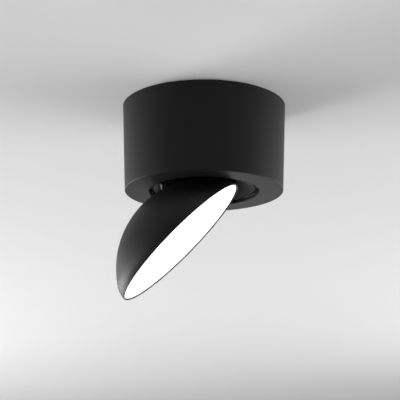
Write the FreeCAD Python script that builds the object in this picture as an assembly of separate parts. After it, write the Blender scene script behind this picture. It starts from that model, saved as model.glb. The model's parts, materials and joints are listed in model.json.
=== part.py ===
"""Surface mounted ceiling spotlight: a black can whose half-dome head slides in a concave seat.

Millimetres. The origin is the centre of the mounting face on the ceiling, +Z up, and the
light is tilted towards +X. Two motions: the seat turns about Z, and the head slides along the
seat's arc slot, about a level axis through the pivot, a point in the air below the can.
"""
import FreeCAD, Part
import math
import os
from FreeCAD import Vector

# --- the can -------------------------------------------------------------------------------
can_top_radius = 50.0
can_height = 54.0
can_draft_deg = 2.0
can_wall = 2.6
can_floor = 2.4
can_bottom_fillet = 0.6
hole_radius = 33.5
hole_fillet = 0.3

# --- the turning seat ----------------------------------------------------------------------
seat_edge_radius = 31.0
seat_recess = 1.4            # how far the seat's edge lies above the underside
seat_edge_fillet = 0.45
bowl_thickness = 2.4
flange_radius = 38.0
flange_thickness = 1.4
slot_half_width = 9.4

# --- the head ------------------------------------------------------------------------------
pivot_drop = 45.1            # the pivot below the underside
tilt_at_rest_deg = 45.0
tilt_least_deg = 0.0
tilt_most_deg = 45.0
face_lead = 18.95            # the front of the head above the pivot when it looks straight down
dome_sphere_radius = 54.8
dome_depth = 32.6
dome_rim_radius = 48.2
dome_rim_fillet = 13.0
dome_wall = 2.2
lip_thickness = 0.85
lip_fillet = 0.24
diffuser_thickness = 1.5
diffuser_inset = 0.25        # the diffuser's face behind the lip's front
diffuser_fillet = 0.2
board_radius = 31.5
board_thickness = 1.6
board_depth = 9.6            # the light board's face behind the lip's front
board_hole_radius = 2.0      # for the wires, beside the middle chip
board_hole_circle = 12.2
board_hole_azimuth = 15.0
pad_thickness = 0.4
pad_margin = 1.0
sink_thickness = 2.6
sink_margin = 0.6            # the plate's rim from the shell
sink_fin_margin = 1.2        # the fins' ends from the screw posts
sink_fin_gap = 0.8           # the fins from the shell
sink_fin_height = 5.0
sink_fin_thickness = 1.4
sink_fin_pitch = 5.2
sink_fin_count = 11
sink_screw_circle = 34.6
sink_screw_radius = 1.25
led_size = 2.8
led_height = 0.7
led_rings = ((8.0, 6), (16.5, 12), (25.5, 18))
chamber_wall = 0.9
chamber_front_margin = 1.6
chamber_back_margin = 1.0

# --- the arm and its slide -----------------------------------------------------------------
arm_angle_deg = 18.6         # the arm from the dome's top, towards the side that tilts up
arm_thickness = 3.0
arm_width = 9.6
arm_bore_thickness = 1.6
arm_bore_width = 6.0
arm_head_height = 1.2
arm_head_overlap = 0.7
arm_foot_thickness = 2.2
arm_foot_half_angle_deg = 7.5
arm_foot_half_width = 10.0
arm_foot_gap_radius = 46.8   # the joint between the arm's foot and the dome's pad, from the pivot
arm_screw_offset = 7.6
arm_screw_radius = 1.0
arm_screw_end = 1.0          # the arm's screws from the shell's inner face
arm_pad_margin = 1.5         # the pad in the dome beyond the arm's foot
arm_pad_margin_deg = 1.5
slide_half_width = 12.0
slide_short_side_deg = 2.5   # the slide's reach from the arm, on the side of the near slot end
slide_long_side_deg = 8.0
shoe_thickness = 2.6
shoe_foot_half_width = 6.0
shoe_foot_reach = 42.4       # the foot is cut from the shoe down to this far from the pivot
saddle_thickness = 2.2
saddle_margin = 0.4          # the saddle inside the shoe's sides
saddle_extra_deg = 0.5
spring_thickness = 0.6
spring_margin = 1.6
spring_short_deg = 1.0
clamp_thickness = 2.0
clamp_short_deg = 1.5
clamp_corner = 1.0
clamp_screw_offset = 7.2
clamp_screw_radius = 1.0
clamp_screw_end = 0.6        # how far the clamp's screws stand proud of it

# --- what holds and drags the seat ---------------------------------------------------------
glide_thickness = 0.6
glide_inner_radius = 34.2
glide_outer_radius = 37.6
damping_thickness = 0.8
damping_margin = 0.3
retaining_thickness = 1.2
retaining_inner_radius = 35.0
retaining_outer_radius = 40.6
retaining_ear_width = 7.0
retaining_screw_circle = 42.2
retaining_screw_radius = 1.25
short_boss_radius = 2.8
short_boss_azimuths = (30.0, 150.0, 270.0)
stop_circle = 33.2
stop_pin_radius = 1.1
stop_pin_height = 3.1
stop_pin_depth = 0.9
stop_tab_inner_radius = 32.0
stop_tab_half_width = 1.6

# --- the ceiling bracket -------------------------------------------------------------------
bracket_thickness = 1.5
bracket_radius = 38.0
bracket_screw_spacing = 60.0
bracket_slot_width = 4.4
bracket_slot_length = 10.0
bracket_hole_radius = 8.0
ear_width = 13.0
ear_drop = 3.2               # the top of an ear below the ceiling
ear_reach = 44.4
ear_azimuths = (0.0, 120.0, 240.0)
ear_stop_thickness = 1.5
ear_stop_offset = 2.6        # the stop's outer face beyond the ear's side
lug_inner_radius = 41.0
lug_thickness = 2.0
lug_width = 15.0
grommet_bore_radius = 4.0
grommet_flange_radius = 10.6
grommet_flange = 2.0
earth_screw_radius = 2.0
earth_screw_place = 27.0
earth_washer_radius = 4.4
earth_washer_thickness = 0.8

# --- the tray and the driver ---------------------------------------------------------------
tray_top = 30.0              # the tray's upper face below the ceiling
tray_thickness = 1.2
tray_radius = 44.2
tray_hole_radius = 9.0
tray_hole_place = (-24.3, -22.1)
tray_notch_reach = 36.2
tray_notch_half_width = 8.8
long_boss_circle = 42.2
long_boss_radius = 3.1
long_boss_azimuths = (90.0, 210.0, 330.0)
tray_screw_radius = 1.25
tray_screw_bite = 6.0
driver_length = 60.0
driver_width = 29.0
driver_height = 17.0
driver_wall = 1.5
driver_offset = 14.5         # the driver's middle from the can's axis
driver_ear_length = 6.0
driver_ear_thickness = 2.0
driver_screw_radius = 1.25
board_margin = 1.0
driver_board_thickness = 1.6
driver_board_lift = 2.5
driver_post_radius = 1.2
driver_post_place = (21.6, 8.1)
transformer_ends = (-6.0, 8.0)
transformer_half_width = 7.0
transformer_height = 6.6
transformer_fillet = 0.6
smoothing_radius = 3.2       # the capacitor lying at the driver's far end
smoothing_length = 11.0
smoothing_start = 13.0
input_radius = 3.4           # the capacitor standing at the input
input_height = 6.4
input_place = (-20.5, -4.5)
choke_radii = (1.6, 3.6)
choke_height = 4.2
choke_place = (-20.5, 5.5)
chip_ends = (-13.5, -9.5)
chip_half_width = 2.5
chip_height = 1.6
terminal_length = 30.0
terminal_width = 13.0
terminal_height = 12.0
terminal_offset = 17.0
terminal_pitch = 9.0
terminal_shoulder = 4.0      # the base's top below the humps' tops
terminal_hump_half_width = 3.4
terminal_hump_margin = 1.5
terminal_wire_radius = 1.9
terminal_wire_height = 4.2
terminal_screw_radius = 1.6
terminal_screw_offset = 2.6
terminal_screw_foot = 6.3
terminal_screw_recess = 1.0
terminal_groove = 0.8        # the screws' slots: their depth
terminal_groove_half_width = 0.3

# --- clearances ----------------------------------------------------------------------------
seat_gap = 0.1               # between pieces that are fastened to each other
running_gap = 0.1            # under and over the turning flange
slide_gap = 0.3              # between the slide and the bowl, and at the slot's ends
slit_clearance = 0.2         # round the arm where it passes through the dome
shank_clearance = 0.15       # round a screw's shank
pin_fit = 0.03
blind_end = 0.4              # a screw's tip above the floor of its hole
overlap = 0.5                # how far fused solids run into each other

# --- screw heads ---------------------------------------------------------------------------
head_height_ratio = 0.65     # a screw head's height over its shank's diameter
head_radius_ratio = 1.8      # a screw head's radius over its shank's radius
head_round_ratio = 0.35      # its rim's round over its height
cross_depth_ratio = 0.5
cross_reach_ratio = 0.8
cross_width_ratio = 0.2

# --- worked out from the above -------------------------------------------------------------
underside = -can_height
can_floor_top = underside + can_floor
can_bottom_radius = can_top_radius - can_height * math.tan(math.radians(can_draft_deg))
pivot_height = underside - pivot_drop
bowl_radius = math.hypot(seat_edge_radius, pivot_drop + seat_recess)
bowl_top_radius = bowl_radius + bowl_thickness
flange_bottom = can_floor_top + glide_thickness + running_gap
flange_top = flange_bottom + flange_thickness
retaining_bottom = flange_top + running_gap + damping_thickness
dome_centre = face_lead + dome_depth - dome_sphere_radius
shoe_top = bowl_radius - slide_gap
shoe_bottom = shoe_top - shoe_thickness
saddle_bottom = bowl_top_radius + slide_gap
saddle_top = saddle_bottom + saddle_thickness
spring_bottom = saddle_top + seat_gap
spring_top = spring_bottom + spring_thickness
clamp_bottom = spring_top + seat_gap
clamp_top = clamp_bottom + clamp_thickness
arm_half_angle = math.degrees(math.asin(arm_thickness / 2.0 / bowl_radius))
slot_end_play = math.degrees(slide_gap / bowl_radius)
slot_left_deg = tilt_most_deg - arm_angle_deg + arm_half_angle + slot_end_play
slot_right_deg = arm_angle_deg - tilt_least_deg + arm_half_angle + slot_end_play
sink_face = board_depth + board_thickness + pad_thickness
far = 4.0 * can_top_radius   # longer than anything on the lamp

Z = Vector(0, 0, 1)
Y = Vector(0, 1, 0)
ORIGIN = Vector(0, 0, 0)


# --- small tools ---------------------------------------------------------------------------
def upright(r, z):
    return Vector(r, 0, z)


def outline(start, *steps):
    """A closed face in the XZ plane. A step is the next point, or (a point passed, next point)."""
    edges = []
    here = start
    for step in steps + (start,):
        if isinstance(step[0], tuple):
            through, there = step
            edges.append(Part.Arc(upright(*here), upright(*through), upright(*there)).toShape())
        else:
            there = step
            if math.dist(here, there) > 1e-6:
                edges.append(Part.LineSegment(upright(*here), upright(*there)).toShape())
        here = there
    return Part.Face(Part.Wire(edges))


def turned(face):
    return face.revolve(ORIGIN, Z, 360)


def disc(radius, bottom, top, x=0.0, y=0.0):
    return Part.makeCylinder(radius, top - bottom, Vector(x, y, bottom), Z)


def ring(inner, outer, bottom, top):
    return disc(outer, bottom, top).cut(disc(inner, bottom - 1.0, top + 1.0))


def block(x_low, x_high, y_low, y_high, z_low, z_high):
    return Part.makeBox(x_high - x_low, y_high - y_low, z_high - z_low, Vector(x_low, y_low, z_low))


def spun(shape, azimuth):
    copy = shape.copy()
    copy.rotate(ORIGIN, Z, azimuth)
    return copy


def around(shape, azimuths):
    return [spun(shape, azimuth) for azimuth in azimuths]


def polar(radius, azimuth):
    angle = math.radians(azimuth)
    return radius * math.cos(angle), radius * math.sin(angle)


def on_sphere(radius, centre_height, r):
    return centre_height + math.sqrt(radius ** 2 - r ** 2)


def wedge(from_deg, to_deg, half_width):
    """The space between two planes through the Y axis, leaning from +Z towards +X by these angles."""
    reach = far / math.cos(math.radians(to_deg - from_deg) / 2.0)
    corners = [(0.0, 0.0)]
    for angle in (from_deg, to_deg):
        lean = math.radians(angle)
        corners.append((reach * math.sin(lean), reach * math.cos(lean)))
    flat = outline(*corners)
    flat.translate(Vector(0, -half_width, 0))
    return flat.extrude(Vector(0, 2.0 * half_width, 0))


def ball(radius, height=0.0):
    return Part.makeSphere(radius, Vector(0, 0, height))


def patch(inner, outer, from_deg, to_deg, half_width):
    """A piece of a spherical wall about the pivot."""
    return wedge(from_deg, to_deg, half_width).common(ball(outer)).cut(ball(inner))


def leant(shape, angle):
    copy = shape.copy()
    copy.rotate(ORIGIN, Y, angle)
    return copy


def at_pivot(shape):
    copy = shape.copy()
    copy.translate(Vector(0, 0, pivot_height))
    return copy


def head_pose(shape):
    """From the head's own frame, looking straight down with the pivot at the origin, to rest."""
    return at_pivot(leant(shape, -tilt_at_rest_deg))


def screw(shank_radius, head_face, tip, x=0.0, y=0.0):
    """A pan head screw on a vertical axis, its head on the far side of head_face from its tip."""
    head_height = 2.0 * shank_radius * head_height_ratio
    up = 1.0 if head_face > tip else -1.0
    head_end = head_face + up * head_height
    head = disc(shank_radius * head_radius_ratio, min(head_face, head_end), max(head_face, head_end), x, y)
    rim = [edge for edge in head.Edges if abs(edge.BoundBox.ZMin - head_end) < 1e-6
           and abs(edge.BoundBox.ZMax - head_end) < 1e-6]
    head = head.makeFillet(head_round_ratio * head_height, rim)
    shank = disc(shank_radius, min(tip, head_face), max(tip, head_face), x, y)
    low, high = sorted((head_end, head_end - up * cross_depth_ratio * head_height))
    reach = cross_reach_ratio * shank_radius
    half = cross_width_ratio * shank_radius
    slot = block(x - reach, x + reach, y - half, y + half, low, high)
    return head.fuse(shank).cut(slot.fuse(slot_turned(slot, x, y))).removeSplitter()


def slot_turned(slot, x, y):
    copy = slot.copy()
    copy.rotate(Vector(x, y, 0), Z, 90)
    return copy


# --- the can and its fixings ---------------------------------------------------------------
def can_outer(height_below_ceiling):
    return can_top_radius - height_below_ceiling * math.tan(math.radians(can_draft_deg))


def can_inner(height_below_ceiling):
    return can_outer(height_below_ceiling) - can_wall


def circle_edges(shape, radius, height):
    found = []
    for edge in shape.Edges:
        box = edge.BoundBox
        level = abs(box.ZMin - height) < 1e-4 and abs(box.ZMax - height) < 1e-4
        if level and abs(box.XMax - radius) < 1e-3:
            found.append(edge)
    return found


def make_housing():
    shell = turned(outline(
        (hole_radius, underside), (can_bottom_radius, underside), (can_top_radius, 0.0),
        (can_top_radius - can_wall, 0.0), (can_inner(-can_floor_top), can_floor_top),
        (hole_radius, can_floor_top)))
    shell = shell.makeFillet(can_bottom_fillet, circle_edges(shell, can_bottom_radius, underside))
    shell = shell.makeFillet(hole_fillet, circle_edges(shell, hole_radius, underside))
    short_boss = boss(retaining_screw_circle, short_boss_radius, retaining_bottom, retaining_screw_radius)
    long_boss = boss(long_boss_circle, long_boss_radius, -tray_top - tray_thickness, tray_screw_radius)
    lug = block(lug_inner_radius, can_top_radius, -lug_width / 2.0, lug_width / 2.0,
                -ear_drop + seat_gap, -ear_drop + seat_gap + lug_thickness)
    lug = lug.common(disc(can_outer(ear_drop) - can_wall / 2.0, -can_height, 0.0))
    extras = around(short_boss, short_boss_azimuths) + around(long_boss, long_boss_azimuths)
    extras += around(lug, ear_azimuths)
    return shell.multiFuse(extras).removeSplitter()


def boss(circle, radius, top, screw_radius):
    """A screw boss standing on the can's floor, joined to the can's wall by a web."""
    post = disc(radius, can_floor_top - can_floor / 2.0, top, circle)
    web = block(circle, can_top_radius, -radius / 3.0, radius / 3.0, can_floor_top - can_floor / 2.0, top)
    wall_middle = turned(outline(
        (0.0, underside), (can_outer(can_height) - can_wall / 2.0, underside),
        (can_top_radius - can_wall / 2.0, 0.0), (0.0, 0.0)))
    hole = disc(screw_radius + pin_fit, can_floor_top, top + 1.0, circle)
    return post.fuse(web).common(wall_middle).cut(hole)


def make_ceiling_bracket():
    plate = disc(bracket_radius, -bracket_thickness, 0.0)
    step_in = bracket_radius - 2.0 * bracket_thickness
    bottom = -ear_drop - bracket_thickness
    half = ear_width / 2.0
    riser = block(step_in, step_in + bracket_thickness, -half, half, bottom, -bracket_thickness / 2.0)
    reach = block(step_in, ear_reach, -half, half, bottom, -ear_drop)
    stop_side = half + ear_stop_offset
    stop = block(lug_inner_radius, ear_reach, stop_side - ear_stop_thickness, stop_side,
                 bottom, -ear_drop + lug_thickness)
    bridge = block(lug_inner_radius, ear_reach, half - overlap, stop_side, bottom, -ear_drop)
    ear = riser.fuse(reach).fuse(bridge).fuse(stop).common(disc(ear_reach, bottom, 0.0))
    plate = plate.multiFuse(around(ear, ear_azimuths))
    slots = []
    for side in (-1.0, 1.0):
        middle = side * bracket_screw_spacing / 2.0
        run = (bracket_slot_length - bracket_slot_width) / 2.0
        width = bracket_slot_width / 2.0
        slots.append(block(middle - run, middle + run, -width, width, -far, far))
        slots.append(disc(width, -far, far, middle - run))
        slots.append(disc(width, -far, far, middle + run))
    holes = [disc(bracket_hole_radius, -far, far)]
    holes.append(disc(earth_screw_radius + pin_fit, -far, far, 0.0, earth_screw_place))
    return plate.cut(Part.makeCompound(slots)).cut(Part.makeCompound(holes)).removeSplitter()


def make_cable_grommet():
    neck = disc(bracket_hole_radius - seat_gap, -bracket_thickness - seat_gap, 0.0)
    flange_low = -bracket_thickness - seat_gap - grommet_flange
    flange = disc(grommet_flange_radius, flange_low, -bracket_thickness - seat_gap)
    flange = flange.makeFillet(grommet_flange * 0.4, circle_edges(flange, grommet_flange_radius, flange_low))
    return neck.fuse(flange).cut(disc(grommet_bore_radius, -far, far))


def make_earth_screw():
    washer_top = -bracket_thickness - seat_gap
    washer_bottom = washer_top - earth_washer_thickness
    washer = disc(earth_washer_radius, washer_bottom, washer_top, 0.0, earth_screw_place)
    body = screw(earth_screw_radius, washer_bottom, -seat_gap, 0.0, earth_screw_place)
    return body.fuse(washer).removeSplitter()


# --- tray, driver and terminals ------------------------------------------------------------
def make_gear_tray():
    plate = disc(tray_radius, -tray_top - tray_thickness, -tray_top)
    holes = [disc(tray_hole_radius, -far, far, *tray_hole_place)]
    for azimuth in long_boss_azimuths:
        x, y = polar(long_boss_circle, azimuth)
        holes.append(disc(tray_screw_radius + shank_clearance, -far, far, x, y))
    for side in (-1.0, 1.0):
        holes.append(disc(driver_screw_radius, -far, far, side * driver_screw_x(), driver_offset))
    wire_notch = block(tray_notch_reach, far, -tray_notch_half_width, tray_notch_half_width, -far, far)
    return plate.cut(Part.makeCompound(holes)).cut(wire_notch).cut(spun(wire_notch, 180)).removeSplitter()


def make_tray_screws():
    spots = [polar(long_boss_circle, azimuth) for azimuth in long_boss_azimuths]
    tip = -tray_top - tray_thickness - tray_screw_bite
    return Part.makeCompound([screw(tray_screw_radius, -tray_top + seat_gap, tip, x, y) for x, y in spots])


def driver_screw_x():
    return driver_length / 2.0 + driver_ear_length / 2.0


def driver_box(shrink, bottom, top):
    half_length = driver_length / 2.0 - shrink
    half_width = driver_width / 2.0 - shrink
    return block(-half_length, half_length, driver_offset - half_width, driver_offset + half_width,
                 bottom, top)


def driver_levels():
    bottom = -tray_top + seat_gap
    top = bottom + driver_height
    return bottom, top


def make_driver_case():
    bottom, top = driver_levels()
    box = driver_box(0.0, bottom, top - driver_wall - seat_gap)
    uprights = [edge for edge in box.Edges if edge.BoundBox.ZLength > 1.0]
    box = box.makeFillet(2.0 * driver_wall, uprights)
    box = box.cut(driver_box(driver_wall, bottom + driver_wall, far))
    ears = []
    for side in (-1.0, 1.0):
        x = side * driver_screw_x()
        half = driver_ear_length / 2.0
        ear = disc(half, bottom, bottom + driver_ear_thickness, x, driver_offset)
        link = block(*sorted((side * (driver_length - driver_wall) / 2.0, x)),
                     driver_offset - half, driver_offset + half, bottom, bottom + driver_ear_thickness)
        hole = disc(driver_screw_radius + shank_clearance, -far, far, x, driver_offset)
        ears.append(ear.fuse(link).cut(hole))
    return box.multiFuse(ears).removeSplitter()


def make_driver_cover():
    top = driver_levels()[1]
    lid = driver_box(0.0, top - driver_wall, top)
    uprights = [edge for edge in lid.Edges if edge.BoundBox.ZLength > 1.0]
    lid = lid.makeFillet(2.0 * driver_wall, uprights)
    rim = driver_box(driver_wall + seat_gap, top - 3.0 * driver_wall, top - driver_wall / 2.0)
    rim = rim.cut(driver_box(2.0 * driver_wall, -far, top - driver_wall))
    return lid.fuse(rim).removeSplitter()


def make_driver_board():
    level = driver_levels()[0] + driver_wall + driver_board_lift
    board = driver_box(driver_wall + board_margin, level, level + driver_board_thickness)
    x, y = driver_post_place
    posts = [disc(driver_post_radius, level - driver_board_lift + seat_gap, level,
                  side * x, driver_offset + end * y) for side in (-1.0, 1.0) for end in (-1.0, 1.0)]
    return board.multiFuse(posts).removeSplitter()


def make_driver_components():
    floor = driver_levels()[0] + driver_wall + driver_board_lift + driver_board_thickness + seat_gap
    y = driver_offset
    transformer = block(*transformer_ends, y - transformer_half_width, y + transformer_half_width,
                        floor, floor + transformer_height)
    transformer = transformer.makeFillet(transformer_fillet, transformer.Edges)
    smoothing_foot = Vector(smoothing_start, y, floor + smoothing_radius + seat_gap)
    smoothing = Part.makeCylinder(smoothing_radius, smoothing_length, smoothing_foot, Vector(1, 0, 0))
    input_x, input_y = input_place
    input_capacitor = disc(input_radius, floor, floor + input_height, input_x, y + input_y)
    choke = ring(*choke_radii, floor, floor + choke_height)
    choke.translate(Vector(choke_place[0], y + choke_place[1], 0))
    chip = block(*chip_ends, y - chip_half_width, y + chip_half_width, floor, floor + chip_height)
    return Part.makeCompound([transformer, smoothing, input_capacitor, choke, chip])


def make_driver_screws():
    seat = driver_levels()[0] + driver_ear_thickness + seat_gap
    tip = -tray_top - tray_thickness
    pair = [screw(driver_screw_radius - pin_fit, seat, tip, side * driver_screw_x(), driver_offset)
            for side in (-1.0, 1.0)]
    return Part.makeCompound(pair)


def terminal_middles():
    return [step * terminal_pitch for step in (-1.0, 0.0, 1.0)]


def terminal_screw_places():
    return [(x, -terminal_offset + side * terminal_screw_offset)
            for x in terminal_middles() for side in (-1.0, 1.0)]


def make_terminal_block():
    bottom = -tray_top + seat_gap
    top = bottom + terminal_height
    y_low = -terminal_offset - terminal_width / 2.0
    y_high = -terminal_offset + terminal_width / 2.0
    base = block(-terminal_length / 2.0, terminal_length / 2.0, y_low, y_high,
                 bottom, top - terminal_shoulder)
    humps = [block(x - terminal_hump_half_width, x + terminal_hump_half_width,
                   y_low + terminal_hump_margin, y_high - terminal_hump_margin, bottom + overlap, top)
             for x in terminal_middles()]
    body = base.multiFuse(humps).removeSplitter()
    wire_height = bottom + terminal_wire_height
    cuts = [Part.makeCylinder(terminal_wire_radius, 2.0 * terminal_width,
                              Vector(x, -terminal_offset - terminal_width, wire_height), Y)
            for x in terminal_middles()]
    cuts += [disc(terminal_screw_radius + pin_fit, wire_height, far, x, y)
             for x, y in terminal_screw_places()]
    return body.cut(Part.makeCompound(cuts)).removeSplitter()


def make_terminal_screws():
    bottom = -tray_top + seat_gap
    top = bottom + terminal_height - terminal_screw_recess
    screws = []
    for x, y in terminal_screw_places():
        shank = disc(terminal_screw_radius, bottom + terminal_screw_foot, top, x, y)
        groove = block(x - far, x + far, y - terminal_groove_half_width, y + terminal_groove_half_width,
                       top - terminal_groove, far)
        screws.append(shank.cut(groove))
    return Part.makeCompound(screws)


# --- the turning seat and what holds it ----------------------------------------------------
def make_glide_ring():
    return ring(glide_inner_radius, glide_outer_radius, can_floor_top, can_floor_top + glide_thickness)


def make_damping_ring():
    return ring(retaining_inner_radius + damping_margin, flange_radius - damping_margin,
                flange_top + running_gap, retaining_bottom)


def make_retaining_ring():
    top = retaining_bottom + retaining_thickness
    plate = ring(retaining_inner_radius, retaining_outer_radius, retaining_bottom, top)
    half = retaining_ear_width / 2.0
    ear = block(retaining_outer_radius - overlap, retaining_screw_circle, -half, half, retaining_bottom, top)
    ear = ear.fuse(disc(half, retaining_bottom, top, retaining_screw_circle))
    ear = ear.common(disc(can_inner(-retaining_bottom) - seat_gap, -far, far))
    tab = block(stop_tab_inner_radius, retaining_inner_radius + overlap,
                -stop_tab_half_width, stop_tab_half_width, retaining_bottom, top)
    whole = plate.multiFuse(around(ear, short_boss_azimuths) + [spun(tab, 180)]).removeSplitter()
    hole = disc(retaining_screw_radius + shank_clearance, -far, far, retaining_screw_circle)
    holes = around(hole, short_boss_azimuths)
    notches = around(disc(long_boss_radius + slide_gap, -far, far, long_boss_circle), long_boss_azimuths)
    return whole.cut(Part.makeCompound(holes)).cut(Part.makeCompound(notches))


def make_retaining_screws():
    seat = retaining_bottom + retaining_thickness + seat_gap
    tip = can_floor_top + blind_end
    spots = [polar(retaining_screw_circle, azimuth) for azimuth in short_boss_azimuths]
    return Part.makeCompound([screw(retaining_screw_radius, seat, tip, x, y) for x, y in spots])


def slot_space():
    """The arc slot through the seat, about the level axis through the pivot."""
    return at_pivot(wedge(-slot_left_deg, slot_right_deg, slot_half_width))


def make_turntable_seat():
    edge_height = underside + seat_recess
    bowl_edge_lean = math.asin(seat_edge_radius / bowl_radius) / 2.0
    bowl_middle = (bowl_radius * math.sin(bowl_edge_lean),
                   pivot_height + bowl_radius * math.cos(bowl_edge_lean))
    top_edge = math.sqrt(bowl_top_radius ** 2 - (flange_top - pivot_height) ** 2)
    top_lean = math.asin(top_edge / bowl_top_radius) / 2.0
    top_middle = (bowl_top_radius * math.sin(top_lean),
                  pivot_height + bowl_top_radius * math.cos(top_lean))
    seat = turned(outline(
        (0.0, pivot_height + bowl_radius), (bowl_middle, (seat_edge_radius, edge_height)),
        (seat_edge_radius, flange_bottom), (flange_radius, flange_bottom), (flange_radius, flange_top),
        (top_edge, flange_top), (top_middle, (0.0, pivot_height + bowl_top_radius))))
    seat = seat.makeFillet(seat_edge_fillet, circle_edges(seat, seat_edge_radius, edge_height))
    pin_hole = disc(stop_pin_radius + pin_fit, flange_top - stop_pin_depth, far, stop_circle)
    return seat.cut(slot_space()).cut(pin_hole).removeSplitter()


def make_pan_stop_pin():
    pin = disc(stop_pin_radius, flange_top - stop_pin_depth, flange_top + stop_pin_height, stop_circle)
    top = [edge for edge in pin.Edges if edge.BoundBox.ZMin > flange_top + stop_pin_height - 1e-4]
    return pin.makeFillet(0.3 * stop_pin_radius, top)


# --- the head's shell and optics, in the head's own frame ----------------------------------
def dome_profile(shrink, start_height):
    """The dome's outline offset inwards by shrink, from start_height to the top: the arcs' points.

    Returns the first point and the two arcs, of the rim's round and of the sphere.
    """
    round_radius = dome_rim_fillet
    round_x = dome_rim_radius - round_radius
    round_z = dome_centre + math.sqrt((dome_sphere_radius - round_radius) ** 2 - round_x ** 2)
    small = round_radius - shrink
    large = dome_sphere_radius - shrink
    first_lean = math.asin(max(start_height - round_z, 0.0) / small)
    last_lean = math.atan2(round_z - dome_centre, round_x)
    middle_lean = (first_lean + last_lean) / 2.0
    crown_lean = (last_lean + math.pi / 2.0) / 2.0
    first = (round_x + small * math.cos(first_lean), round_z + small * math.sin(first_lean))
    middle = (round_x + small * math.cos(middle_lean), round_z + small * math.sin(middle_lean))
    joint = (round_x + small * math.cos(last_lean), round_z + small * math.sin(last_lean))
    crown = (large * math.cos(crown_lean), dome_centre + large * math.sin(crown_lean))
    return first, (middle, joint), (crown, (0.0, dome_centre + large))


def dome_inner_radius(height):
    """The shell's inner radius on its spherical part, at this height in the head's frame."""
    return math.sqrt((dome_sphere_radius - dome_wall) ** 2 - (height - dome_centre) ** 2)


def diffuser_back():
    return face_lead + diffuser_inset + diffuser_thickness


def make_dome_shell():
    ledge = diffuser_back() + seat_gap
    lip_inner = dome_rim_radius - lip_thickness
    outer_first, outer_round, outer_sphere = dome_profile(0.0, face_lead)
    inner_first, inner_round, inner_sphere = dome_profile(dome_wall, ledge)
    outer = turned(outline((0.0, face_lead), (dome_rim_radius, face_lead), outer_first,
                           outer_round, outer_sphere))
    inner = turned(outline((0.0, ledge), inner_first, inner_round, inner_sphere))
    recess = disc(lip_inner, face_lead - 1.0, ledge)
    shell = outer.cut(inner).cut(recess)
    front = [edge for edge in shell.Edges if edge.BoundBox.ZMax < face_lead + 1e-3]
    shell = shell.makeFillet(lip_fillet, front)
    pad_reach = arm_foot_half_angle_deg + arm_pad_margin_deg
    pad = wedge(arm_angle_deg - pad_reach, arm_angle_deg + pad_reach, arm_foot_half_width + arm_pad_margin)
    pad = pad.common(ball(dome_sphere_radius - dome_wall / 2.0, dome_centre)).cut(ball(arm_foot_gap_radius))
    sink_back = face_lead + sink_face + sink_thickness
    post = disc(2.0 * sink_screw_radius, sink_back + seat_gap, face_lead + dome_depth, sink_screw_circle)
    post = post.common(ball(dome_sphere_radius - dome_wall / 2.0, dome_centre))
    post_hole = disc(sink_screw_radius + pin_fit, sink_back - 1.0, sink_post_hole_end(), sink_screw_circle)
    shell = shell.multiFuse([pad] + around(post, short_boss_azimuths)).removeSplitter()
    shell = shell.cut(Part.makeCompound(around(post_hole, short_boss_azimuths)))
    hole_end = dome_sphere_radius + dome_centre - dome_wall
    holes = [leant(disc(arm_screw_radius + pin_fit, 0.0, hole_end, 0.0, y), arm_angle_deg)
             for y in (-arm_screw_offset, arm_screw_offset)]
    return shell.cut(arm_hole(slit_clearance)).cut(Part.makeCompound(holes)).removeSplitter()


def make_diffuser():
    front = face_lead + diffuser_inset
    radius = dome_rim_radius - lip_thickness - seat_gap
    plate = disc(radius, front, diffuser_back())
    return plate.makeFillet(diffuser_fillet, circle_edges(plate, radius, front))


def make_light_chamber():
    """The white cone from the light board out to the diffuser's edge."""
    low = diffuser_back() + 2.0 * seat_gap
    high = face_lead + board_depth - seat_gap
    wide = dome_rim_radius - dome_wall - chamber_front_margin
    narrow = board_radius - chamber_back_margin
    return turned(outline((narrow, high), (wide, low),
                          (wide + chamber_wall, low), (narrow + chamber_wall, high)))


def board_levels():
    front = face_lead + board_depth
    return front, front + board_thickness


def make_led_board():
    front, back = board_levels()
    board = disc(board_radius, front, back)
    return board.cut(disc(board_hole_radius, -far, far, *polar(board_hole_circle, board_hole_azimuth)))


def make_led_chips():
    front = board_levels()[0]
    half = led_size / 2.0
    chip = block(-half, half, -half, half, front - seat_gap / 2.0 - led_height, front - seat_gap / 2.0)
    chips = [chip]
    for radius, count in led_rings:
        placed = chip.copy()
        placed.translate(Vector(radius, 0, 0))
        chips += around(placed, [360.0 * step / count for step in range(count)])
    return Part.makeCompound(chips)


def make_thermal_pad():
    back = board_levels()[1]
    return disc(board_radius - pad_margin, back + seat_gap / 4.0, back + pad_thickness - seat_gap / 4.0)


def make_heat_sink():
    face = face_lead + sink_face
    back = face + sink_thickness
    plate = disc(dome_inner_radius(back) - sink_margin, face, back)
    fins = []
    for step in range(sink_fin_count):
        y = (step - (sink_fin_count - 1) / 2.0) * sink_fin_pitch
        fins.append(block(-far, far, y - sink_fin_thickness / 2.0, y + sink_fin_thickness / 2.0,
                          back - overlap, back + sink_fin_height))
    allowed = disc(sink_screw_circle - 2.0 * sink_screw_radius - sink_fin_margin, face, far)
    allowed = allowed.common(ball(dome_sphere_radius - dome_wall - sink_fin_gap, dome_centre))
    fins = Part.makeCompound(fins).common(allowed)
    sink = plate.fuse(fins).removeSplitter()
    hole = disc(sink_screw_radius + shank_clearance, -far, far, sink_screw_circle)
    return sink.cut(Part.makeCompound(around(hole, short_boss_azimuths)))


def sink_post_hole_end():
    """The blind end of the heat sink's screw holes, where they would reach the shell's inner face."""
    return on_sphere(dome_sphere_radius - dome_wall, dome_centre, sink_screw_circle + sink_screw_radius)


def make_heat_sink_screws():
    seat = face_lead + sink_face - seat_gap
    tip = sink_post_hole_end() - slide_gap
    return Part.makeCompound([screw(sink_screw_radius, seat, tip, *polar(sink_screw_circle, azimuth))
                              for azimuth in short_boss_azimuths])


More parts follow.
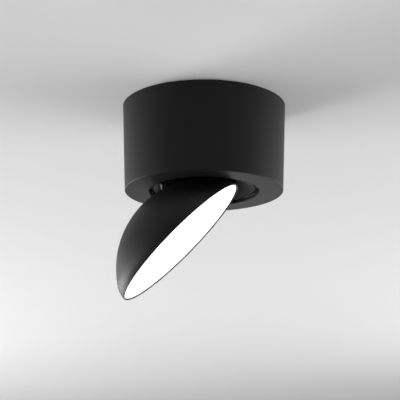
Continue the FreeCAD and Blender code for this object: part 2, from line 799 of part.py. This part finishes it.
# --- the arm and its slide, in the head's own frame ----------------------------------------
def slide_patch(inner, outer, half_width, short_side, long_side):
    return patch(inner, outer, arm_angle_deg - short_side, arm_angle_deg + long_side, half_width)


def arm_hole(grow, bottom=0.0, top=far):
    half = arm_thickness / 2.0 + grow
    side = arm_width / 2.0 + grow
    return leant(block(-half, half, -side, side, bottom, top), arm_angle_deg)


def make_swivel_arm():
    foot_top = arm_foot_gap_radius - seat_gap
    foot = slide_patch(foot_top - arm_foot_thickness, foot_top, arm_foot_half_width,
                       arm_foot_half_angle_deg, arm_foot_half_angle_deg)
    blade = arm_hole(0.0, foot_top - arm_foot_thickness, clamp_top + seat_gap / 2.0)
    head = arm_hole(arm_head_overlap, clamp_top + seat_gap / 2.0, clamp_top + arm_head_height)
    bore = leant(block(-arm_bore_thickness / 2.0, arm_bore_thickness / 2.0,
                       -arm_bore_width / 2.0, arm_bore_width / 2.0, 0.0, far), arm_angle_deg)
    holes = [leant(disc(arm_screw_radius + shank_clearance, 0.0, far, 0.0, y), arm_angle_deg)
             for y in (-arm_screw_offset, arm_screw_offset)]
    return foot.cut(Part.makeCompound(holes)).fuse(blade).fuse(head).cut(bore).removeSplitter()


def make_arm_screws():
    foot_bottom = arm_foot_gap_radius - seat_gap - arm_foot_thickness
    head_reach = arm_screw_offset + arm_screw_radius * head_radius_ratio
    seat = math.sqrt(foot_bottom ** 2 - head_reach ** 2) - seat_gap
    tip = dome_sphere_radius + dome_centre - dome_wall - arm_screw_end
    pair = [screw(arm_screw_radius, seat, tip, 0.0, y) for y in (-arm_screw_offset, arm_screw_offset)]
    return leant(Part.makeCompound(pair), arm_angle_deg)


def clamp_screw_hole(grow, bottom=0.0, top=far):
    pair = [disc(clamp_screw_radius + grow, bottom, top, 0.0, y)
            for y in (-clamp_screw_offset, clamp_screw_offset)]
    return leant(Part.makeCompound(pair), arm_angle_deg)


def clamp_head_face():
    """Where the clamp screws' heads bear, in their recesses in the shoe."""
    head_height = 2.0 * clamp_screw_radius * head_height_ratio
    return math.sqrt(shoe_bottom ** 2 - clamp_screw_offset ** 2) + head_height


def make_glide_shoe():
    shoe = slide_patch(shoe_bottom, shoe_top, slide_half_width, slide_short_side_deg, slide_long_side_deg)
    foot = slide_patch(shoe_foot_reach, shoe_bottom + overlap, shoe_foot_half_width,
                       slide_short_side_deg, slide_long_side_deg)
    foot = foot.cut(ball(dome_sphere_radius + seat_gap, dome_centre))
    recess = clamp_screw_hole(clamp_screw_radius * (head_radius_ratio - 1.0) + shank_clearance / 2.0,
                              shoe_foot_reach, clamp_head_face() + seat_gap)
    shoe = shoe.fuse(foot).cut(arm_hole(seat_gap)).cut(clamp_screw_hole(shank_clearance))
    return shoe.cut(recess).removeSplitter()


def make_clamp_screws():
    tip = clamp_top + clamp_screw_end
    pair = [screw(clamp_screw_radius, clamp_head_face(), tip, 0.0, y)
            for y in (-clamp_screw_offset, clamp_screw_offset)]
    return leant(Part.makeCompound(pair), arm_angle_deg)


def make_slide_saddle():
    saddle = slide_patch(saddle_bottom, saddle_top, slide_half_width - saddle_margin,
                         slide_short_side_deg + saddle_extra_deg, slide_long_side_deg)
    return saddle.cut(arm_hole(seat_gap)).cut(clamp_screw_hole(shank_clearance)).removeSplitter()


def make_leaf_spring():
    leaf = slide_patch(spring_bottom, spring_top, slide_half_width - spring_margin, slide_short_side_deg,
                       slide_long_side_deg - spring_short_deg)
    return leaf.cut(arm_hole(seat_gap)).cut(clamp_screw_hole(shank_clearance)).removeSplitter()


def make_clamp_plate():
    short = clamp_bottom * math.tan(math.radians(slide_short_side_deg))
    long = clamp_bottom * math.tan(math.radians(slide_long_side_deg - clamp_short_deg))
    half = slide_half_width - spring_margin
    plate = block(-short, long, -half, half, clamp_bottom, clamp_top)
    uprights = [edge for edge in plate.Edges if edge.BoundBox.ZLength > clamp_thickness / 2.0]
    plate = leant(plate.makeFillet(clamp_corner, uprights), arm_angle_deg)
    return plate.cut(arm_hole(seat_gap)).cut(clamp_screw_hole(pin_fit)).removeSplitter()


# --- everything, by node -------------------------------------------------------------------
FIXED = {
    "housing": make_housing,
    "ceiling_bracket": make_ceiling_bracket,
    "cable_grommet": make_cable_grommet,
    "earth_screw": make_earth_screw,
    "gear_tray": make_gear_tray,
    "tray_screws": make_tray_screws,
    "driver_case": make_driver_case,
    "driver_cover": make_driver_cover,
    "driver_board": make_driver_board,
    "driver_components": make_driver_components,
    "driver_screws": make_driver_screws,
    "terminal_block": make_terminal_block,
    "terminal_screws": make_terminal_screws,
    "glide_ring": make_glide_ring,
    "damping_ring": make_damping_ring,
    "retaining_ring": make_retaining_ring,
    "retaining_screws": make_retaining_screws,
    "turntable_seat": make_turntable_seat,
    "pan_stop_pin": make_pan_stop_pin,
}
HEAD = {
    "dome_shell": make_dome_shell,
    "diffuser": make_diffuser,
    "light_chamber": make_light_chamber,
    "led_board": make_led_board,
    "led_chips": make_led_chips,
    "thermal_pad": make_thermal_pad,
    "heat_sink": make_heat_sink,
    "heat_sink_screws": make_heat_sink_screws,
    "swivel_arm": make_swivel_arm,
    "arm_screws": make_arm_screws,
    "glide_shoe": make_glide_shoe,
    "clamp_screws": make_clamp_screws,
    "slide_saddle": make_slide_saddle,
    "leaf_spring": make_leaf_spring,
    "clamp_plate": make_clamp_plate,
}


def main():
    os.makedirs("parts", exist_ok=True)
    shapes = {name: make() for name, make in FIXED.items()}
    shapes.update({name: head_pose(make()) for name, make in HEAD.items()})
    for name, shape in shapes.items():
        shape.exportStep("parts/%s.step" % name)
        box = shape.BoundBox
        print("%-18s solids %2d valid %s volume %9.1f  z %.2f to %.2f" % (
            name, len(shape.Solids), shape.isValid(), shape.Volume, box.ZMin, box.ZMax))


main()
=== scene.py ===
"""The looks of a surface mounted ceiling spotlight, round its fixed frame. Metres, ceiling at z = 0."""
import bmesh
import bpy
import json
import math
from mathutils import Matrix, Vector


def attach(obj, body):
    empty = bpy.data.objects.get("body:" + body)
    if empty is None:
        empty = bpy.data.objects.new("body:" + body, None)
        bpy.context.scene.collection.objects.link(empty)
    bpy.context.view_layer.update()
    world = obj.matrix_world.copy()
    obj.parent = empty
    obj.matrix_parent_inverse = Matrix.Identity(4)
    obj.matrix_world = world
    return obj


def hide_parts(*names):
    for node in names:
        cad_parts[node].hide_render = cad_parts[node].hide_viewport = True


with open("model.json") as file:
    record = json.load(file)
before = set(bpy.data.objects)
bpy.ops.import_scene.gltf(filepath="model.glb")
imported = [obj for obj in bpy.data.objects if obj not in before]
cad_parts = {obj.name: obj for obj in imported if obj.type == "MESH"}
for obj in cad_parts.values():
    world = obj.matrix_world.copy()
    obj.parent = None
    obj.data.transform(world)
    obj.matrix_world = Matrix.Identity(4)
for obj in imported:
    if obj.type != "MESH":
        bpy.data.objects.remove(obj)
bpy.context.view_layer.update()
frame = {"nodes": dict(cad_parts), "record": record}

MM = 0.001


def grey(level):
    return (level, level, level)



# --- where the photograph was taken from ---------------------------------------------------
underside = -54.0 * MM
camera_distance = 0.7507          # to the middle of the can's underside
camera_below_deg = 15.13
camera_pitch_deg = 14.755
camera_yaw_deg = -0.191
camera_roll_deg = 0.079
camera_lens = 111.19
camera_sensor = 36.0

# --- the lit face --------------------------------------------------------------------------
face_centre = (-13.4 * MM, 0.0, -85.7 * MM)   # the middle of the lip's front
lit_recess = 0.7 * MM
lit_radius = 47.25 * MM
lit_round = 0.08 * MM
lit_back = 1.72 * MM
lit_steps = 256
merge_distance = 1e-7

# --- the room ------------------------------------------------------------------------------
ceiling_gap = 0.3 * MM
ceiling_size = 14.0
floor_height = -1.9
ceiling_unseen = grey(0.3)    # colours for the rays that only carry light
floor_unseen = grey(0.4)
world_unseen = grey(0.06)
world_pale = grey(0.8)
ceiling_glow = grey(0.03)
floor_glow = grey(0.3)
lamp_target = (0.0, 0.0, -0.06)
lamps = (                     # name, place, width, height, watts
    ("left_card", (-1.2, 0.33, -0.27), 1.6, 0.42, 20.0),
    ("right_card", (1.2, 0.36, -0.27), 1.6, 0.42, 21.5),
    ("low_card", (0.3, 1.2, -1.75), 2.0, 2.0, 1.0),
    ("far_card", (0.6, 3.0, -0.85), 2.0, 0.8, 7.0),
    ("front_card", (-0.6, -1.05, -0.3), 0.3, 0.3, 0.8),
    ("key", (-1.7, 1.7, -0.6), 0.8, 0.8, 29.0),
    ("top_card", (0.4, -0.8, 1.3), 1.2, 1.2, 14.0),
)


# --- materials: nodes as expressions -------------------------------------------------------
class Value:
    """An output of a node. Arithmetic on it adds Math nodes to its tree."""

    def __init__(self, finish, socket):
        self.finish = finish
        self.socket = socket

    def _math(self, operation, first, second=0.0):
        made = self.finish.node("ShaderNodeMath", {"operation": operation}, {0: first, 1: second})
        return made["Value"]

    def __add__(self, other):
        return self._math("ADD", self, other)

    def __radd__(self, other):
        return self._math("ADD", other, self)

    def __sub__(self, other):
        return self._math("SUBTRACT", self, other)

    def __rsub__(self, other):
        return self._math("SUBTRACT", other, self)

    def __mul__(self, other):
        return self._math("MULTIPLY", self, other)

    def __rmul__(self, other):
        return self._math("MULTIPLY", other, self)

    def __truediv__(self, other):
        return self._math("DIVIDE", self, other)

    def sine(self):
        return self._math("SINE", self)

    def at_most(self, other):
        return self._math("MINIMUM", self, other)

    def over(self, other):
        return self._math("GREATER_THAN", self, other)


class Made:
    """A node just added, whose outputs are read by name."""

    def __init__(self, finish, node):
        self.finish = finish
        self.node = node

    def __getitem__(self, name):
        return Value(self.finish, self.node.outputs[name])


class Shading:
    """The node tree of a material or of the world."""

    def __init__(self, tree):
        self.tree = tree

    def put(self, socket, value):
        if isinstance(value, Value):
            self.tree.links.new(value.socket, socket)
        elif isinstance(value, tuple) and socket.type == "RGBA" and len(value) == 3:
            socket.default_value = value + (1.0,)
        else:
            socket.default_value = value

    def node(self, kind, settings=None, inputs=None):
        made = self.tree.nodes.new(kind)
        for key, value in (settings or {}).items():
            if key == "stops":
                fill_ramp(made.color_ramp, value)
            else:
                setattr(made, key, value)
        for key, value in (inputs or {}).items():
            self.put(made.inputs[key], value)
        return Made(self, made)

    def blend(self, factor, first, second):
        """The first colour where factor is 0, the second where it is 1."""
        made = self.node("ShaderNodeMix", {"data_type": "RGBA"}, {0: factor, 6: first, 7: second})
        return Value(self, made.node.outputs[2])

    def seen(self):
        """1 for the rays that show the room as a background: camera, glossy and transmission."""
        path = self.node("ShaderNodeLightPath")
        return (path["Is Camera Ray"] + path["Is Glossy Ray"] + path["Is Transmission Ray"]).at_most(1.0)


class Finish(Shading):
    """A material being made round its Principled shader."""

    def __init__(self, name, **constants):
        self.material = bpy.data.materials.new(name)
        self.material.use_nodes = True
        super().__init__(self.material.node_tree)
        self.shader = self.tree.nodes["Principled BSDF"]
        for key, value in constants.items():
            self.put(self.shader.inputs[key.replace("_", " ")], value)
        self.place = self.node("ShaderNodeTexCoord")["Object"]

    def noise(self, size, detail=2.0, rough=0.5, place=None):
        """Noise whose lumps are about this many metres across."""
        return self.node("ShaderNodeTexNoise", {"noise_dimensions": "3D"},
                         {"Vector": place or self.place, "Scale": 1.0 / size, "Detail": detail,
                          "Roughness": rough})["Fac"]

    def cells(self, size, feature="F1"):
        return self.node("ShaderNodeTexVoronoi", {"feature": feature},
                         {"Vector": self.place, "Scale": 1.0 / size})["Distance"]

    def stretched(self, scale):
        """Object coordinates stretched along one axis, for grain and brush marks."""
        return self.node("ShaderNodeMapping", {}, {"Vector": self.place, "Scale": scale})["Vector"]

    def axes(self):
        made = self.node("ShaderNodeSeparateXYZ", {}, {"Vector": self.place})
        return made["X"], made["Y"], made["Z"]

    def ramp(self, factor, *stops):
        return self.node("ShaderNodeValToRGB", {"stops": stops}, {"Fac": factor})["Color"]

    def bump(self, height, depth, strength=1.0):
        made = self.node("ShaderNodeBump", {}, {"Height": height, "Distance": depth, "Strength": strength})
        self.put(self.shader.inputs["Normal"], made["Normal"])

    def wear(self, **links):
        for key, value in links.items():
            self.put(self.shader.inputs[key.replace("_", " ")], value)
        return self


def fill_ramp(ramp, stops):
    while len(ramp.elements) < len(stops):
        ramp.elements.new(1.0)
    for element, (position, colour) in zip(ramp.elements, stops):
        element.position = position
        element.color = tuple(colour) + (1.0,)


# --- finishes ------------------------------------------------------------------------------
def black_paint():
    """Fine matt powder coat: a soft orange peel under a dusting of half-millimetre grain."""
    made = Finish("black_paint", IOR=1.5, Specular_IOR_Level=0.13)
    grain = made.noise(0.28 * MM, 3.0, 0.6)
    peel = made.noise(2.4 * MM, 2.0, 0.5)
    cloud = made.noise(22.0 * MM, 3.0, 0.55)
    made.wear(Base_Color=made.blend(cloud * 0.6 + grain * 0.4,
                                    (0.0056, 0.0056, 0.0059), (0.0084, 0.0084, 0.0087)),
              Roughness=0.47 + grain * 0.06 + cloud * 0.05)
    made.bump(grain * 0.75 + peel * 0.25, 0.018 * MM)
    return made.material


def cast_zinc():
    """Black satin paint over a die casting, thinner and a little shinier than the coat outside."""
    made = Finish("cast_zinc", IOR=1.5)
    grain = made.noise(0.5 * MM, 2.0)
    cloud = made.noise(6.0 * MM)
    made.wear(Base_Color=made.blend(cloud, (0.014, 0.014, 0.015), (0.022, 0.022, 0.023)),
              Roughness=0.3 + grain * 0.12)
    made.bump(grain, 0.02 * MM)
    return made.material


def zinc_steel():
    """Zinc plated sheet: faint spangle, rolling marks along X and small scuffs."""
    made = Finish("zinc_steel", Metallic=1.0)
    spangle = made.cells(3.2 * MM)
    rolling = made.noise(1.0, 3.0, 0.6, made.stretched((90.0, 2600.0, 2600.0)))
    scuff = made.noise(9.0 * MM, 4.0, 0.65)
    tone = spangle * 0.12 + rolling * 0.25 + scuff * 0.4
    made.wear(Base_Color=made.ramp(tone, (0.15, (0.46, 0.47, 0.49)), (0.6, (0.66, 0.67, 0.68))),
              Roughness=0.27 + scuff * 0.16 + rolling * 0.06)
    made.bump(rolling, 0.006 * MM)
    return made.material


def spring_steel():
    made = Finish("spring_steel", Metallic=1.0)
    temper = made.noise(7.0 * MM, 2.0)
    lines = made.noise(1.0, 2.0, 0.5, made.stretched((2800.0, 160.0, 2800.0)))
    made.wear(Base_Color=made.ramp(temper, (0.3, (0.34, 0.33, 0.34)), (0.7, (0.5, 0.48, 0.45))),
              Roughness=0.24 + lines * 0.14)
    made.bump(lines, 0.004 * MM)
    return made.material


def screw_steel():
    made = Finish("screw_steel", Metallic=1.0)
    tarnish = made.noise(1.6 * MM, 3.0, 0.6)
    made.wear(Base_Color=made.ramp(tarnish, (0.3, (0.4, 0.41, 0.42)), (0.72, (0.63, 0.63, 0.62))),
              Roughness=0.25 + tarnish * 0.2)
    made.bump(made.noise(0.25 * MM, 2.0), 0.01 * MM)
    return made.material


def brass():
    made = Finish("brass", Metallic=1.0)
    tarnish = made.noise(2.0 * MM, 4.0, 0.6)
    made.wear(Base_Color=made.ramp(tarnish, (0.3, (0.42, 0.27, 0.1)), (0.7, (0.78, 0.58, 0.26))),
              Roughness=0.22 + tarnish * 0.25)
    made.bump(made.noise(0.3 * MM, 2.0), 0.008 * MM)
    return made.material


def rubber():
    made = Finish("rubber", IOR=1.5)
    dust = made.noise(1.8 * MM, 4.0, 0.7)
    made.wear(Base_Color=made.ramp(dust, (0.35, grey(0.018)), (0.75, (0.05, 0.049, 0.047))),
              Roughness=0.65 + dust * 0.25)
    made.bump(made.noise(0.2 * MM, 2.0), 0.02 * MM)
    return made.material


def moulded(name, dark, light, rough, texture_size, texture_depth, gloss_ior=1.48):
    """Moulded plastic: a spark-eroded grain and faint flow clouds."""
    made = Finish(name, IOR=gloss_ior)
    cloud = made.noise(14.0 * MM, 3.0, 0.55)
    grain = made.noise(texture_size, 3.0, 0.6)
    made.wear(Base_Color=made.ramp(cloud * 0.7 + grain * 0.3, (0.3, dark), (0.7, light)),
              Roughness=rough + grain * 0.12)
    made.bump(grain, texture_depth)
    return made.material


def felt():
    made = Finish("felt", Roughness=0.95)
    fibre = made.noise(1.0, 5.0, 0.7, made.stretched((2200.0, 2200.0, 5200.0)))
    clump = made.noise(0.9 * MM, 3.0, 0.6)
    made.wear(Base_Color=made.ramp(fibre * 0.6 + clump * 0.4, (0.3, grey(0.05)), (0.7, grey(0.19))))
    made.bump(fibre * 0.6 + clump * 0.4, 0.12 * MM)
    return made.material


def circuit_board():
    """Green solder mask with copper tracks showing darker and lighter through it."""
    made = Finish("circuit_board", IOR=1.5)
    y = made.axes()[1]
    lanes = ((y / (1.9 * MM) + made.noise(12.0 * MM) * 3.0) * math.tau).sine()
    tracks = lanes.over(0.35)
    mask = made.noise(5.0 * MM, 2.0)
    made.wear(Base_Color=made.blend(tracks * 0.8, (0.012, 0.075, 0.03), (0.04, 0.2, 0.08)),
              Roughness=0.24 + mask * 0.12)
    made.bump(tracks + mask * 0.2, 0.03 * MM)
    return made.material


def components():
    made = Finish("components", IOR=1.5)
    x = made.axes()[0]
    windings = ((x / (0.55 * MM)) * math.tau).sine()
    dust = made.noise(2.5 * MM, 3.0)
    made.wear(Base_Color=made.blend(dust, (0.022, 0.022, 0.026), (0.07, 0.068, 0.075)),
              Roughness=0.26 + dust * 0.2)
    made.bump(windings * 0.3 + dust, 0.03 * MM)
    return made.material


def opal():
    """Opal diffuser lit from behind: even, with a faint random haze in its colour and glow."""
    made = Finish("opal", IOR=1.49, Emission_Strength=1.0)
    haze = made.noise(8.0 * MM, 2.0)
    frost = made.noise(0.35 * MM, 2.0)
    made.wear(Base_Color=made.blend(haze, grey(0.88), grey(0.94)),
              Emission_Color=made.blend(haze, grey(0.97), grey(1.0)),
              Roughness=0.36 + frost * 0.14)
    made.bump(frost, 0.01 * MM)
    return made.material


def led_phosphor():
    made = Finish("led_phosphor", IOR=1.45, Emission_Strength=0.6)
    speck = made.noise(0.4 * MM, 3.0)
    made.wear(Base_Color=made.blend(speck, (0.78, 0.58, 0.12), (0.95, 0.8, 0.3)),
              Emission_Color=made.blend(speck, (1.0, 0.86, 0.6), (1.0, 0.93, 0.75)),
              Roughness=0.22 + speck * 0.15)
    return made.material


def aluminium():
    made = Finish("aluminium", Metallic=1.0)
    cast = made.noise(0.7 * MM, 4.0, 0.65)
    flow = made.noise(11.0 * MM, 2.0)
    made.wear(Base_Color=made.ramp(cast * 0.5 + flow * 0.5,
                                   (0.3, (0.55, 0.56, 0.57)), (0.7, (0.76, 0.77, 0.78))),
              Roughness=0.36 + cast * 0.2)
    made.bump(cast, 0.03 * MM)
    return made.material


def finishes():
    """Every material slot of the record and its finish."""
    return {
        "black_paint": black_paint(), "cast_zinc": cast_zinc(), "zinc_steel": zinc_steel(),
        "spring_steel": spring_steel(), "screw_steel": screw_steel(), "brass": brass(), "rubber": rubber(),
        "felt": felt(), "circuit_board": circuit_board(), "components": components(), "opal": opal(),
        "led_phosphor": led_phosphor(), "aluminium": aluminium(),
        "thermal_pad": moulded("thermal_pad", (0.2, 0.26, 0.36), (0.27, 0.34, 0.45),
                               0.7, 0.6 * MM, 0.03 * MM),
        "white_nylon": moulded("white_nylon", (0.62, 0.61, 0.57), (0.72, 0.71, 0.67),
                               0.42, 0.4 * MM, 0.012 * MM),
        "black_nylon": moulded("black_nylon", grey(0.016), grey(0.026), 0.36, 0.35 * MM, 0.014 * MM),
        "driver_plastic": moulded("driver_plastic", (0.66, 0.66, 0.63), (0.75, 0.75, 0.72),
                                  0.46, 0.45 * MM, 0.02 * MM),
        "white_reflector": moulded("white_reflector", grey(0.82), grey(0.9), 0.6, 0.5 * MM, 0.008 * MM),
        "white_board": moulded("white_board", (0.76, 0.76, 0.73), (0.84, 0.84, 0.82),
                               0.34, 2.0 * MM, 0.01 * MM),
    }


# --- the lit face --------------------------------------------------------------------------
def make_lit_face(slots):
    """The diffuser's visible plate, seated a little deeper behind the lip than its solid's face."""
    work = bmesh.new()
    outline = ((0.0, lit_recess), (lit_radius - lit_round, lit_recess), (lit_radius, lit_recess + lit_round),
               (lit_radius, lit_back), (0.0, lit_back))
    rim = [work.verts.new((radius, 0.0, -depth)) for radius, depth in outline]
    edges = [work.edges.new(pair) for pair in zip(rim, rim[1:])]
    bmesh.ops.spin(work, geom=rim + edges, cent=(0.0, 0.0, 0.0), axis=(0.0, 0.0, 1.0), angle=math.tau,
                   steps=lit_steps, use_merge=True)
    bmesh.ops.remove_doubles(work, verts=work.verts, dist=merge_distance)
    bmesh.ops.recalc_face_normals(work, faces=work.faces)
    aim = Vector((1.0, 0.0, -1.0)).to_track_quat("Z", "Y").to_matrix().to_4x4()
    bmesh.ops.transform(work, matrix=Matrix.Translation(face_centre) @ aim, verts=work.verts)
    mesh = bpy.data.meshes.new("lit_face")
    work.to_mesh(mesh)
    work.free()
    mesh.materials.append(slots["opal"])
    face = bpy.data.objects.new("lit_face", mesh)
    bpy.context.scene.collection.objects.link(face)
    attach(face, "head")
    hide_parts("diffuser")


def dress_nodes(slots):
    for row in frame["record"]["subparts"]:
        node = frame["nodes"][row["node"]]
        node.data.materials.clear()
        node.data.materials.append(slots[row["material_slot"]])


# --- the room and its light ----------------------------------------------------------------
def plane(name, size, height, face_down):
    mesh = bpy.data.meshes.new(name)
    work = bmesh.new()
    bmesh.ops.create_grid(work, x_segments=1, y_segments=1, size=size / 2.0)
    bmesh.ops.translate(work, verts=work.verts, vec=(0.0, 0.0, height))
    if face_down:
        bmesh.ops.reverse_faces(work, faces=work.faces)
    work.to_mesh(mesh)
    work.free()
    made = bpy.data.objects.new(name, mesh)
    bpy.context.scene.collection.objects.link(made)
    return made


def plaster():
    """Pale painted plaster, seen from below only: from above the lamp shows through it."""
    made = Finish("plaster", Roughness=0.85, Specular_IOR_Level=0.0, Emission_Strength=1.0)
    trowel = made.noise(0.4, 4.0, 0.5)
    pale = made.blend(trowel, (0.87, 0.86, 0.86), (0.9, 0.89, 0.89))
    seen = made.seen()
    made.wear(Base_Color=made.blend(seen, ceiling_unseen, pale),
              Emission_Color=made.blend(seen, grey(0.0), ceiling_glow))
    clear = made.node("ShaderNodeBsdfTransparent")["BSDF"]
    back = made.node("ShaderNodeNewGeometry")["Backfacing"]
    front = Value(made, made.shader.outputs["BSDF"])
    mixed = made.node("ShaderNodeMixShader", {}, {0: back, 1: front, 2: clear})
    made.put(made.tree.nodes["Material Output"].inputs["Surface"], mixed["Shader"])
    return made.material


def floor_paint():
    """Pale floor, well below the ceiling."""
    made = Finish("floor_paint", Roughness=0.7, Specular_IOR_Level=0.0, Emission_Strength=1.0)
    pale = made.blend(made.noise(0.5, 3.0), grey(0.8), grey(0.86))
    seen = made.seen()
    made.wear(Base_Color=made.blend(seen, floor_unseen, pale),
              Emission_Color=made.blend(seen, grey(0.0), floor_glow))
    return made.material


def lamp(name, place, width, height, watts):
    data = bpy.data.lights.new(name, "AREA")
    data.shape = "RECTANGLE"
    data.size = width
    data.size_y = height
    data.energy = watts
    made = bpy.data.objects.new(name, data)
    made.location = place
    made.rotation_euler = (Vector(lamp_target) - Vector(place)).to_track_quat("-Z", "Y").to_euler()
    bpy.context.scene.collection.objects.link(made)
    return made


def make_room():
    ceiling = plane("ceiling", ceiling_size, ceiling_gap, True)
    ceiling.data.materials.append(plaster())
    ceiling.visible_shadow = False
    floor = plane("floor", ceiling_size, floor_height, False)
    floor.data.materials.append(floor_paint())

    world = bpy.data.worlds.new("room_light")
    bpy.context.scene.world = world
    world.use_nodes = True
    room = Shading(world.node_tree)
    room.put(room.tree.nodes["Background"].inputs["Color"], room.blend(room.seen(), world_unseen, world_pale))

    for name, place, width, height, watts in lamps:
        lamp(name, place, width, height, watts)


def make_camera():
    below = math.radians(camera_below_deg)
    pitch = math.radians(camera_pitch_deg)
    yaw = math.radians(camera_yaw_deg)
    roll = math.radians(camera_roll_deg)
    place = Vector((0.0, -camera_distance * math.cos(below), underside - camera_distance * math.sin(below)))
    forward = Vector((math.sin(yaw) * math.cos(pitch), math.cos(yaw) * math.cos(pitch), math.sin(pitch)))
    right = Vector((math.cos(yaw), -math.sin(yaw), 0.0))
    up = right.cross(forward)
    right, up = (right * math.cos(roll) + up * math.sin(roll), up * math.cos(roll) - right * math.sin(roll))
    turn = Matrix((right, up, -forward)).transposed().to_4x4()
    data = bpy.data.cameras.new("camera")
    data.lens = camera_lens
    data.sensor_width = camera_sensor
    data.sensor_fit = "HORIZONTAL"
    data.clip_start = 0.01
    data.clip_end = 50.0
    camera = bpy.data.objects.new("camera", data)
    camera.matrix_world = Matrix.Translation(place) @ turn
    bpy.context.scene.collection.objects.link(camera)
    bpy.context.scene.camera = camera


bpy.context.scene.view_settings.view_transform = "Standard"
make_camera()
make_room()
slots = finishes()
dress_nodes(slots)
make_lit_face(slots)
